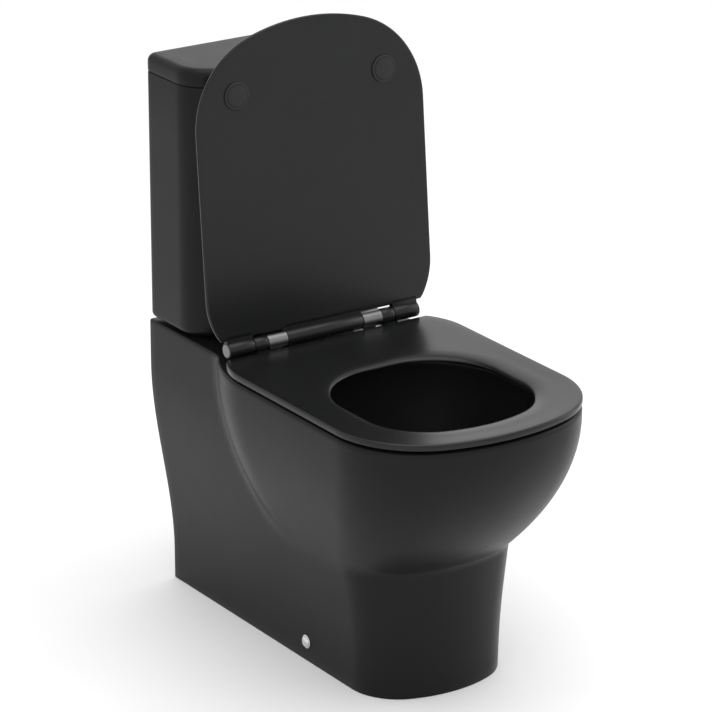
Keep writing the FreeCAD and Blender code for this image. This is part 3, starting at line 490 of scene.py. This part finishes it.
def pan_china():
    """The pan as one closed casting. Its grid runs up the casing, over the rim, down the bowl,
    through the trap to the spigot, back along the trap's outside, up the bowl's underside, along
    the underside of the deck and down the lining to the floor. The back stays open below the deck."""
    body_z, outside = casing_rows()
    wall_z = body_z[body_z <= DECK_UNDER]
    rows = np.concatenate([outside, basin_rows(outside[-1]), lining_rows(wall_z)[::-1]])
    below_deck = np.zeros(len(rows), bool)
    below_deck[: len(wall_z) - 1] = True
    below_deck[len(rows) - len(wall_z):] = True
    in_opening = np.abs(PAN_PLACES) < OPENING_EDGE - 0.01
    in_opening |= np.roll(in_opening, -1)
    keep = ~(below_deck[:, None] & in_opening[None, :])
    piece("pan_china", [sheet(rows, keep, rows_wrap=True)], "root", "china", ("pan", "bowl", "trap"))


def flush_housing():
    """The rounded duct under the deck that leads the flush to the bowl. Its section is an oblong
    with round corners, cosine and sine raised to a low power, and it narrows at both ends."""
    half, depth, middle_z = 53.0, 29.0, DECK_UNDER - 27
    start_y, end_y, end_round, power = 22.0, BACK - 18, 14.0, 0.35
    sine, cosine = quarter(6)
    start_steps, end_steps = end_round * (1 - cosine), end_round * (1 - cosine[::-1])
    y = np.concatenate([[start_y], start_y + start_steps, end_y - end_steps, [end_y]])
    shrink = np.concatenate([[depth], end_round * (1 - sine), end_round * (1 - sine[::-1]), [depth]])
    turn = np.arange(72) / 72 * 2 * math.pi
    across = np.sign(np.cos(turn)) * np.abs(np.cos(turn)) ** power
    up = np.sign(np.sin(turn)) * np.abs(np.sin(turn)) ** power
    wide = np.clip(half - shrink, 0, None)[:, None] * (shrink < depth)[:, None]
    tall = np.clip(depth - shrink, 0, None)[:, None]
    rows = np.stack([wide * across, y[:, None] + 0 * across, middle_z + tall * up], axis=-1)
    piece("flush_duct_china", [sheet(rows)], "root", "china")


# ---------------------------------------------------------------- cistern
CISTERN_PLACES = halves(14, 8, 12, 18, 26)
CISTERN_SIZES = (CISTERN_HIGH[0], CISTERN_LOW[1], BACK, 230.0, 50.0, 14.0)
CISTERN_CENTRE = (0.0, (CISTERN_LOW[1] + BACK) / 2)
CISTERN_WALL, CISTERN_FLOOR = 10.0, 12.0


def plan_inset(sizes, distance, places):
    """A D-shaped plan moved inwards, with its arcs kept tangent; distance may be a column."""
    half, front, back, nose, corner, heel = sizes
    heel = np.maximum(heel - distance, 0.5)
    return d_plan(
        places, half - distance, front + distance, back - distance, nose - distance,
        corner - distance, heel,
    )


def closed_plan_rows(sizes, places, insets, heights):
    """Rings of a plan, each with its own inset and height."""
    distance = np.array(insets, float)[:, None]
    return with_height(plan_inset(sizes, distance, places), np.array(heights, float)[:, None])


def to_pole(ring, centre, steps):
    """Rings that shrink in proportion from a ring to a point at the same height."""
    share = np.linspace(1, 0, steps + 1)[1:, None, None]
    point = np.array([*centre, ring[0, 2]])
    return point + (ring - point) * share


def cistern_china():
    """The cistern as an open-topped shell: rings of its plan run from the middle of the base round
    the bottom edge, up the outside, over the top edge and down the inside to the floor."""
    sine, cosine = quarter(9)
    top_sine, top_cosine = quarter(4)
    low, high = CISTERN_LOW[2], CISTERN_HIGH[2]
    edge, lip, floor_edge = 9.0, 2.0, 16.0
    floor = low + CISTERN_FLOOR
    outside_z = np.linspace(low + edge, high - lip, 6)[1:-1]
    insets = np.concatenate([
        edge * (1 - sine), 0 * outside_z, lip * (1 - top_cosine), [CISTERN_WALL - lip],
        [CISTERN_WALL] * 3, CISTERN_WALL + floor_edge * (1 - cosine),
    ])
    heights = np.concatenate([
        low + edge * (1 - cosine), outside_z, high - lip * (1 - top_sine), [high],
        [high - 1, (low + high) / 2, floor + floor_edge], floor + floor_edge * (1 - sine),
    ])
    rows = closed_plan_rows(CISTERN_SIZES, CISTERN_PLACES, insets, heights)
    base = to_pole(rows[0], CISTERN_CENTRE, 5)[::-1]
    rows = np.concatenate([base, rows, to_pole(rows[-1], CISTERN_CENTRE, 5)])
    piece("cistern_china", [sheet(rows)], "root", "china", ("cistern",))


def cover_china():
    """The cistern's cover: rings run from the button hole over the top, round the edge, down the
    side, along the seam, round the locating lip and back under the top to the hole."""
    sine, cosine = quarter(10)
    foot_sine, foot_cosine = quarter(4)
    low, high = COVER_LOW[2], COVER_HIGH[2]
    seam, plate_under = CISTERN_HIGH[2] + 0.5, high - 12
    edge, foot, hole, bevel = 11.0, 1.5, 20.0, 1.0
    lip_outside, lip_inside = 11.5, 18.0
    side_z = (high + seam) / 2 - 4
    insets = np.concatenate([
        edge * (1 - sine), [0], foot * (1 - foot_cosine), [lip_outside, lip_outside, lip_outside + bevel],
        [lip_inside - bevel, lip_inside, lip_inside],
    ])
    heights = np.concatenate([
        high - edge * (1 - cosine), [side_z], seam + foot * (1 - foot_sine),
        [seam, low + bevel, low, low, low + bevel, plate_under],
    ])
    rows = closed_plan_rows(CISTERN_SIZES, CISTERN_PLACES, insets, heights)
    centre_y = CISTERN_CENTRE[1]
    angle, _ = heading(rows[0, :, :2], centre_y)
    circle = np.stack([hole * np.sin(angle), centre_y - hole * np.cos(angle)], axis=-1)
    share = np.linspace(0, 1, 9)[:-1, None, None]
    top = with_height(circle + (rows[0, :, :2] - circle) * share, high)
    under = with_height(circle + (rows[-1, :, :2] - circle) * share, plate_under)
    rows = np.concatenate([top, rows, under[::-1]])
    piece("cistern_cover_china", [sheet(rows, rows_wrap=True)], "cistern_cover", "china", ("cistern_lid",))


# ---------------------------------------------------------------- seat and lid
SEAT_PLACES = halves(16, 22, 30, 34, 26)
RING_BACK = HINGE_Y - 13.5
HEEL_BACK = HINGE_Y + 28
RING_SIZES = (HALF_WIDTH, FRONT, HEEL_BACK, SEAT_NOSE, SEAT_CORNER, SEAT_HEEL)
HOLE_SIZES = (123.0, -276.0, -23.0, 200.0, 90.0, 100.0)
RING_UNDER, RING_TOP = 404.0, 412.6
LID_UNDER, LID_TOP = 416.4, 425.0
LID_FRONT = FRONT + 9
LID_SIZES = (HALF_WIDTH, LID_FRONT, HEEL_BACK, SEAT_NOSE, SEAT_CORNER, SEAT_HEEL)
KNUCKLE = 11.0
RING_KNUCKLE = (93.0, 114.0)
LID_KNUCKLES = ((114.5, HINGE_END), (-62.0, 62.0))


def opened(points):
    """Turns points about the hinge pins from the closed to the open place."""
    y, z = points[..., 1] - HINGE_Y, points[..., 2] - HINGE_Z
    sine, cosine = math.sin(-OPEN_ANGLE), math.cos(-OPEN_ANGLE)
    return np.stack([
        points[..., 0], HINGE_Y + y * cosine - z * sine, HINGE_Z + y * sine + z * cosine,
    ], axis=-1)


def knuckle(start, end, under, top):
    """A hinge knuckle between two places across: a circle round the pin, a flat web at the plate's
    height that runs into the plate's back edge, and edges eased at both ends."""
    ease = 1.2
    web_y = RING_BACK - 6 - HINGE_Y
    web_z = np.clip(np.array([under, top]) - HINGE_Z, -KNUCKLE, KNUCKLE)
    first, last = np.arctan2(web_z, -np.sqrt(KNUCKLE ** 2 - web_z ** 2)) % (2 * math.pi)
    arc = np.linspace(first, last + 2 * math.pi * (last < first), 44)
    section = KNUCKLE * np.stack([np.cos(arc), np.sin(arc)], axis=-1)
    under_corner, top_corner = (np.array([web_y, z]) for z in web_z)
    share = np.linspace(0, 1, 7)[1:, None]
    section = np.concatenate([
        section, section[-1] + (top_corner - section[-1]) * share,
        top_corner + (under_corner - top_corner) * share,
        (under_corner + (section[0] - under_corner) * share)[:-1],
    ])
    half_way = 0.35 * ease
    x = np.array([start, start, start + half_way, start + ease])
    x = np.concatenate([x, (start + end) - x[::-1]])
    size = np.array([0, 1 - ease / KNUCKLE, 1 - half_way / KNUCKLE, 1])
    size = np.concatenate([size, size[::-1]])
    rows = section[None] * size[:, None, None] + (HINGE_Y, HINGE_Z)
    return np.concatenate([np.broadcast_to(x[:, None, None], (*rows.shape[:2], 1)), rows], axis=-1)


def trimmed(plan, distance):
    """Cuts a seat plan straight in front of the hinge, at a distance inside its back edge."""
    y = np.minimum(plan[..., 1], RING_BACK - distance)
    return np.stack([plan[..., 0], y], axis=-1)


def seat_ring():
    """The seat ring: a section carried round from the outer to the inner plan. Its outer edge is
    rounded, its top dips a little towards the hole and rolls down into it."""
    edge, under_edge, roll_wide, roll_deep, dip = 3.2, 1.6, 27.0, 6.6, 0.9
    centre_y = -150.0
    outer = trimmed(d_plan(SEAT_PLACES, *RING_SIZES), 0)
    angle, _ = heading(outer, centre_y)
    around, far = heading(d_plan(FINE, *HOLE_SIZES), centre_y)
    far = np.interp(np.abs(angle), around[::-1], far[::-1])
    inner = np.stack([far * np.sin(angle), centre_y - far * np.cos(angle)], axis=-1)
    across = inner - outer
    length = np.linalg.norm(across, axis=-1)
    across = across / length[:, None]
    sine, cosine = quarter(7)
    low_sine, low_cosine = quarter(4)
    from_outer = np.concatenate([under_edge * (1 - low_sine), edge * (1 - cosine)])
    outer_z = np.concatenate([
        RING_UNDER + under_edge * (1 - low_cosine), RING_TOP - edge * (1 - sine),
    ])
    plain = np.linspace(0, 1, 8)[1:-1, None]
    roll_sine, roll_cosine = quarter(12)
    from_inner = np.concatenate([roll_wide * (1 - roll_sine), under_edge * (1 - low_cosine)])
    inner_z = np.concatenate([
        RING_TOP - dip - roll_deep * (1 - roll_cosine),
        RING_UNDER + under_edge * (1 - low_sine),
    ])
    top_from = edge + (length - roll_wide - edge) * plain
    under_from = (length - under_edge) + (2 * under_edge - length) * plain
    distance = np.concatenate([
        from_outer[:, None] + 0 * length, top_from, length - from_inner[:, None], under_from,
    ])
    heights = np.concatenate([
        outer_z, RING_TOP - dip * smooth_step(plain[:, 0]), inner_z, RING_UNDER + 0 * plain[:, 0],
    ])
    plate = with_height(outer + across * distance[..., None], heights[:, None])
    start, end = RING_KNUCKLE
    knuckles = [knuckle(*span, RING_UNDER, RING_TOP) for span in ((start, end), (-end, -start))]
    sheets = [sheet(plate, rows_wrap=True)] + [sheet(rows) for rows in knuckles]
    piece("seat_ring_moulding", sheets, "ring", "seat", ("seat_ring",))


def seat_lid():
    """The lid: rings of its plan run from the middle of the underside out to a rounded edge and
    back over a slightly crowned top, then the whole is turned open."""
    under_edge, edge, crown = 2.6, 4.2, 1.6
    flat_inset, crown_inset, first_rise, rise = 9.0, 20.0, 0.25, 0.55
    centre = (0.0, (LID_FRONT + RING_BACK) / 2)
    edge_top = LID_TOP - crown
    low_sine, low_cosine = quarter(6)
    sine, cosine = quarter(8)
    insets = np.concatenate([
        [flat_inset], under_edge * (1 - low_sine), edge * (1 - cosine), [flat_inset, crown_inset],
    ])
    heights = np.concatenate([
        [LID_UNDER], LID_UNDER + under_edge * (1 - low_cosine), edge_top - edge * (1 - sine),
        [edge_top + first_rise, edge_top + rise],
    ])
    rows = closed_plan_rows(LID_SIZES, SEAT_PLACES, insets, heights)
    rows[..., :2] = trimmed(rows[..., :2], insets[:, None])
    under = to_pole(rows[0], centre, 8)[::-1]
    top = to_pole(rows[-1], centre, 12)
    share = np.linspace(1, 0, 13)[1:, None]
    top[..., 2] = edge_top + rise + (crown - rise) * (1 - share ** 2)
    plate = opened(np.concatenate([under, rows, top]))
    (start, end), middle = LID_KNUCKLES
    spans = [(start, end), (-end, -start), middle]
    knuckles = [opened(knuckle(*span, LID_UNDER, LID_TOP)) for span in spans]
    sheets = [sheet(plate)] + [sheet(rows) for rows in knuckles]
    piece("seat_lid_moulding", sheets, "lid", "seat", ("seat_lid",))


# ---------------------------------------------------------------- small pieces
RING_PAD_RADIUS, LID_PAD_RADIUS = 17.0, 19.0
RING_PADS = [(HALF_WIDTH - 49.5, FRONT + 70.5), (HALF_WIDTH - 24.5, FRONT + 235.5)]
LID_PAD = (HALF_WIDTH - 64.5, FRONT + 99.5)
REST_GAP = 0.3
CAP_FACE = FOOT_HALF + 0.2


def pad_profile(radius, height):
    """Half section of a buffer that hangs down: a foot, a grooved shoulder and a domed face."""
    face, groove = radius - 4.2, 0.55
    side, shoulder, dome = 0.45 * height, 0.68 * height, 0.72 * height
    sine, cosine = quarter(8)
    profile = np.array([
        (0, 0), (radius, 0), (radius, side), (radius - 0.5, 0.62 * height), (radius - 1.3, shoulder),
        (radius - 2.6, shoulder), (face + 0.4, shoulder - groove), (face, 0.7 * height),
        *[(face * c, dome + (height - dome) * s) for s, c in zip(sine, cosine)],
    ])
    return profile * (1, -1)


def buffers():
    """Round rubber pads under the ring and under the lid."""
    low, high = millimetres("ring_buffers")
    profile = pad_profile(RING_PAD_RADIUS, high[2] - low[2])
    ring_pads = [
        turned(profile, (side * x, y, RING_UNDER), "+Z") for x, y in RING_PADS for side in (1, -1)
    ]
    piece("ring_buffer_pads", ring_pads, "ring", "rubber", ("ring_buffers",))
    profile = pad_profile(LID_PAD_RADIUS, LID_UNDER - RING_TOP - REST_GAP)
    x, y = LID_PAD
    lid_pads = [turned(profile, (side * x, y, LID_UNDER), "+Z") for side in (1, -1)]
    lid_pads = [(opened(corners), faces) for corners, faces in lid_pads]
    piece("lid_buffer_pads", lid_pads, "lid", "rubber", ("lid_buffers",))


def both_sides(profile, reach_x, y, z, count=64):
    """The same turned profile pointing outwards on the right and on the left."""
    return [
        turned(profile, (side * reach_x, y, z), along, count) for side, along in ((1, "+X"), (-1, "-X"))
    ]


def hinge_end_caps():
    """A thin satin disc set into each outer end of the hinge."""
    radius, sunk, proud = KNUCKLE - 2.2, 1.5, 0.5
    profile = [
        (0, -sunk), (radius, -sunk), (radius, 0.1), (radius - 0.5, 0.45), (radius - 2.5, proud), (0, proud),
    ]
    ends = both_sides(profile, HINGE_END, HINGE_Y, HINGE_Z, 48)
    piece("hinge_end_discs", ends, "lid", "hinge_metal")


def cover_caps():
    """Domed caps with a narrow flange over the screws at the sides of the foot."""
    low, high = millimetres("cover_caps")
    radius = (high[2] - low[2]) / 2
    flange, tall = 1.6, high[0] - CAP_FACE
    dome = radius - flange
    sine, cosine = quarter(12)
    profile = [
        (0, -0.4), (radius - 0.4, -0.4), (radius, 0), (radius, 0.9), (radius - 0.5, 1.4), (dome, flange),
        *[(dome * c, flange + (tall - flange) * s) for s, c in zip(sine, cosine)],
    ]
    caps = both_sides(profile, CAP_FACE, (low[1] + high[1]) / 2, (low[2] + high[2]) / 2)
    piece("side_screw_caps", caps, "root", "chrome", ("cover_caps",))


def spring_coils():
    """Wire coils under the two flush buttons: a circle carried up a helix that lies flat at both
    ends, where it closes to a point."""
    wire, turns, steps_a_turn, closing = 0.45, 6, 24, 400
    flat_share = 0.04
    for name, joint in (("full_spring", "full_flush_press"), ("half_spring", "half_flush_press")):
        low, high = millimetres(name)
        middle, free = (low + high) / 2, high[2] - low[2]
        share = np.linspace(0, 1, turns * steps_a_turn)[:, None]
        rise = (free - 2 * wire) * smooth_step((share - flat_share) / (1 - 2 * flat_share))
        angle = share * turns * 2 * math.pi
        around = np.arange(8) / 8 * 2 * math.pi
        swollen = wire * np.clip(np.minimum(share, 1 - share) * closing, 0, 1)
        out = (high[0] - low[0]) / 2 - wire + swollen * np.cos(around)
        rows = np.stack([
            middle[0] + out * np.cos(angle), middle[1] + out * np.sin(angle),
            low[2] + wire + rise + swollen * np.sin(around),
        ], axis=-1)
        coil = piece(name + "_coil", [sheet(rows)], "cistern_cover", "steel", (name,), crease=80)
        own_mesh(coil)


# ---------------------------------------------------------------- finishes
class Finish:
    """A procedural finish on object coordinates. A noise lies mostly between its low and its high
    share, and those are spread over the whole range of a value or of two shades."""

    low_share, high_share = 0.3, 0.7

    def __init__(self, name):
        self.material = bpy.data.materials.new(name)
        self.material.use_nodes = True
        self.tree = self.material.node_tree
        self.shader = self.tree.nodes["Principled BSDF"]
        self.place = self.tree.nodes.new("ShaderNodeTexCoord").outputs["Object"]

    def fixed(self, **values):
        """Values that are the same all over the surface."""
        for key, value in values.items():
            self.shader.inputs[key.replace("_", " ").title().replace("Ior", "IOR")].default_value = value
        return self

    def noise(self, spots, detail=3.0, stretch=(1, 1, 1)):
        """Noise of so many spots a metre."""
        mapping = self.tree.nodes.new("ShaderNodeMapping")
        mapping.inputs["Scale"].default_value = stretch
        texture = self.tree.nodes.new("ShaderNodeTexNoise")
        texture.inputs["Scale"].default_value = spots
        texture.inputs["Detail"].default_value = detail
        self.tree.links.new(self.place, mapping.inputs["Vector"])
        self.tree.links.new(mapping.outputs["Vector"], texture.inputs["Vector"])
        return texture.outputs["Fac"]

    def spread(self, factor, low, high):
        """Maps the middle of a noise's range to values from low to high."""
        node = self.tree.nodes.new("ShaderNodeMapRange")
        node.inputs["From Min"].default_value = self.low_share
        node.inputs["From Max"].default_value = self.high_share
        node.inputs["To Min"].default_value = low
        node.inputs["To Max"].default_value = high
        self.tree.links.new(factor, node.inputs["Value"])
        return node.outputs["Result"]

    def colour(self, factor, dark, light):
        """Colour that varies between two shades."""
        ramp = self.tree.nodes.new("ShaderNodeValToRGB")
        ends = zip(ramp.color_ramp.elements, (self.low_share, self.high_share), (dark, light))
        for end, share, shade in ends:
            end.position = share
            end.color = (*shade, 1)
        self.tree.links.new(factor, ramp.inputs["Fac"])
        self.tree.links.new(ramp.outputs["Color"], self.shader.inputs["Base Color"])
        return self

    def roughness(self, factor, low, high):
        """Roughness that varies between two values."""
        self.tree.links.new(self.spread(factor, low, high), self.shader.inputs["Roughness"])
        return self

    def bump(self, factor, height, strength=1.0):
        """Relief of a height in metres."""
        node = self.tree.nodes.new("ShaderNodeBump")
        node.inputs["Distance"].default_value = height
        node.inputs["Strength"].default_value = strength
        self.tree.links.new(factor, node.inputs["Height"])
        self.tree.links.new(node.outputs["Normal"], self.shader.inputs["Normal"])
        return self


def shades(colour, swing):
    """A darker and a lighter shade of a colour."""
    return [c * (1 - swing) for c in colour], [c * (1 + swing) for c in colour]


def china_glaze(black=(0.0076, 0.0078, 0.0081)):
    """Satin black glaze: soft clouds of shade, a fine orange peel and a thin clear coat."""
    finish = Finish("satin_black_glaze")
    finish.fixed(specular_ior_level=0.14, coat_weight=0.02, coat_roughness=0.2)
    finish.colour(finish.noise(spots=9, detail=4), *shades(black, swing=0.12))
    finish.roughness(finish.noise(spots=26, detail=3), low=0.34, high=0.37)
    return finish.bump(finish.noise(spots=420, detail=2), height=0.00003, strength=0.3).material


def seat_thermoset(black=(0.0085, 0.0088, 0.0091)):
    """Pressed thermoset, as black as the glaze and a little smoother."""
    finish = Finish("satin_black_thermoset")
    finish.fixed(specular_ior_level=0.28, coat_weight=0.03, coat_roughness=0.2)
    finish.colour(finish.noise(spots=12, detail=4), *shades(black, swing=0.1))
    finish.roughness(finish.noise(spots=34, detail=3), low=0.25, high=0.27)
    return finish.bump(finish.noise(spots=600, detail=1), height=0.00001, strength=0.15).material


def rubber(black=(0.012, 0.012, 0.0125)):
    """Soft rubber, duller than the seat it sits in."""
    finish = Finish("soft_black_rubber").fixed(specular_ior_level=0.35)
    finish.colour(finish.noise(spots=60, detail=4), *shades(black, swing=0.15))
    finish.roughness(finish.noise(spots=120), low=0.55, high=0.68)
    return finish.bump(finish.noise(spots=900), height=0.00006, strength=0.6).material


def metal(name, colour, low, high, stretch, grain):
    """A metal with fine lines along one direction."""
    finish = Finish(name).fixed(metallic=1.0)
    finish.colour(finish.noise(spots=30), *shades(colour, swing=0.05))
    lines = finish.noise(spots=grain, detail=4, stretch=stretch)
    finish.roughness(lines, low, high)
    return finish.bump(lines, height=0.00002, strength=0.4).material


def plastic(name, colour, low, high):
    """Moulded plastic with a fine spark-eroded texture."""
    finish = Finish(name).fixed(specular_ior_level=0.5)
    finish.colour(finish.noise(spots=22), *shades(colour, swing=0.06))
    finish.roughness(finish.noise(spots=45, detail=4), low, high)
    return finish.bump(finish.noise(spots=700, detail=2), height=0.00005, strength=0.4).material


FINISHES = {
    "china": china_glaze(),
    "seat": seat_thermoset(),
    "rubber": rubber(),
    "hinge_metal": metal("satin_hinge_metal", (0.2, 0.2, 0.205), 0.3, 0.4, (1, 12, 12), grain=90),
    "steel": metal("zinc_plated_steel", (0.52, 0.53, 0.55), 0.28, 0.4, (6, 6, 1), grain=120),
    "chrome": metal("polished_chrome", (0.72, 0.72, 0.73), 0.05, 0.09, (1, 1, 1), grain=60),
    "brass": metal("machined_brass", (0.66, 0.48, 0.2), 0.24, 0.36, (1, 1, 14), grain=90),
    "white_plastic": plastic("white_valve_plastic", (0.72, 0.72, 0.7), 0.38, 0.5),
    "grey_plastic": plastic("dark_grey_plastic", (0.16, 0.165, 0.17), 0.42, 0.55),
    "button": plastic("black_button_plastic", (0.01, 0.01, 0.0105), 0.16, 0.24),
}


def dress_cad_nodes():
    """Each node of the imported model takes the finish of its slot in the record."""
    for part in frame["record"]["subparts"]:
        slots = NODES[part["node"]].data.materials
        slots.clear()
        slots.append(FINISHES[part["material_slot"]])


# ---------------------------------------------------------------- studio
# metres, and shares of full white
FLOOR_REACH = 14.0
FLOOR_GLOW, SURROUND_STRENGTH = 0.14, 0.92
LENS, SENSOR, FAR_CLIP = 202.25, 36.0, 50.0
CAMERA_PLACE = (-2.8232, -4.1920, 2.2845)
CAMERA_AZIMUTH, CAMERA_ELEVATION = math.radians(-33.765), math.radians(20.291)


def floor_and_surround(white=(0.86, 0.86, 0.86)):
    """A flat white floor that reaches far past the toilet, and a white surround."""
    r = FLOOR_REACH
    mesh = bpy.data.meshes.new("studio_floor")
    mesh.from_pydata([(-r, -r, 0), (r, -r, 0), (r, r, 0), (-r, r, 0)], [], [(0, 1, 2, 3)])
    floor = place_in_scene("studio_floor", mesh)
    finish = Finish("pale_floor").fixed(emission_strength=FLOOR_GLOW)
    finish.colour(finish.noise(spots=3, detail=2), *shades(white, swing=0.01))
    finish.roughness(finish.noise(spots=8, detail=2), low=0.75, high=0.85)
    mesh.materials.append(finish.material)

    world = bpy.data.worlds.new("pale_surround")
    bpy.context.scene.world = world
    world.use_nodes = True
    background = world.node_tree.nodes["Background"]
    background.inputs["Color"].default_value = (1, 1, 1, 1)
    background.inputs["Strength"].default_value = SURROUND_STRENGTH


def panel(name, place, aim, size, power):
    """A soft rectangular lamp at a place, facing a point, that the camera doesn't see."""
    lamp = bpy.data.lights.new(name, "AREA")
    lamp.shape = "RECTANGLE"
    lamp.size, lamp.size_y = size
    lamp.energy = power
    thing = place_in_scene(name, lamp)
    thing.location = place
    thing.visible_camera = False
    toward = np.array(aim, float) - np.array(place, float)
    flat = math.hypot(toward[0], toward[1])
    thing.rotation_euler = (math.atan2(flat, -toward[2]), 0, math.atan2(-toward[0], toward[1]))


def lights():
    """Four soft panels, in metres and watts: the one behind lights the level tops."""
    panel("overhead_panel", place=(0.2, -0.2, 2.6), aim=(0, 0, 0.4), size=(2.2, 2.2), power=22)
    panel("back_panel", place=(1.6, 2.4, 1.7), aim=(0, 0, 0.5), size=(3.0, 1.8), power=5)
    panel("right_panel", place=(2.4, -0.6, 1.3), aim=(0, 0, 0.4), size=(1.2, 1.8), power=10)
    panel("left_panel", place=(-2.2, -1.6, 1.4), aim=(0, 0, 0.4), size=(1.4, 1.6), power=3)


def camera():
    """A long lens at the front left that looks down by about twenty degrees."""
    lens = bpy.data.cameras.new("camera")
    lens.sensor_width, lens.lens = SENSOR, LENS
    lens.clip_end = FAR_CLIP
    thing = place_in_scene("camera", lens)
    thing.location = CAMERA_PLACE
    thing.rotation_euler = (math.pi / 2 - CAMERA_ELEVATION, 0, CAMERA_AZIMUTH)
    bpy.context.scene.camera = thing
    bpy.context.scene.view_settings.view_transform = "Standard"


pan_china()
flush_housing()
cistern_china()
cover_china()
seat_ring()
seat_lid()
buffers()
hinge_end_caps()
cover_caps()
spring_coils()
dress_cad_nodes()
floor_and_surround()
lights()
camera()
